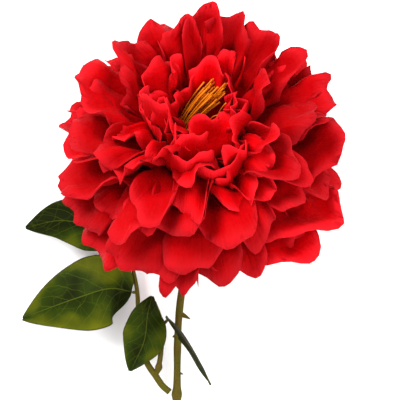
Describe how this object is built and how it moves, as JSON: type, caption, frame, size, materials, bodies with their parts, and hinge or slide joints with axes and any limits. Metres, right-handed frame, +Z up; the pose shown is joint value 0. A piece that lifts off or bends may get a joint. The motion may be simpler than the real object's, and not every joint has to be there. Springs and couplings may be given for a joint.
{
  "type": "double peony",
  "caption": "Double red peony flower on a cut stem with a leafy side stalk, lying on its side.",
  "frame": {"origin": "the flat spot under the bloom where its lowest petal presses on the surface", "axes": "+Z up, the stem runs away along -Y, the bloom's face looks up and towards +Y"},
  "size_m": [0.1803, 0.3061, 0.1254],
  "materials": {
    "petals": "soft matt red",
    "stamens": "matt orange yellow",
    "calyx": "matt green",
    "stem": "matt olive green",
    "leaf_stalk": "matt olive green",
    "leaflets": "satin dark green with yellow-green patches"
  },
  "bodies": {
    "root": {"petals": "petals", "stamens": "stamens", "calyx": "calyx", "stem": "stem", "leaf_stalk": "leaf_stalk", "leaflet_left": "leaflets", "leaflet_far": "leaflets", "leaflet_low": "leaflets", "leaflet_slim": "leaflets"}
  },
  "joints": []
}
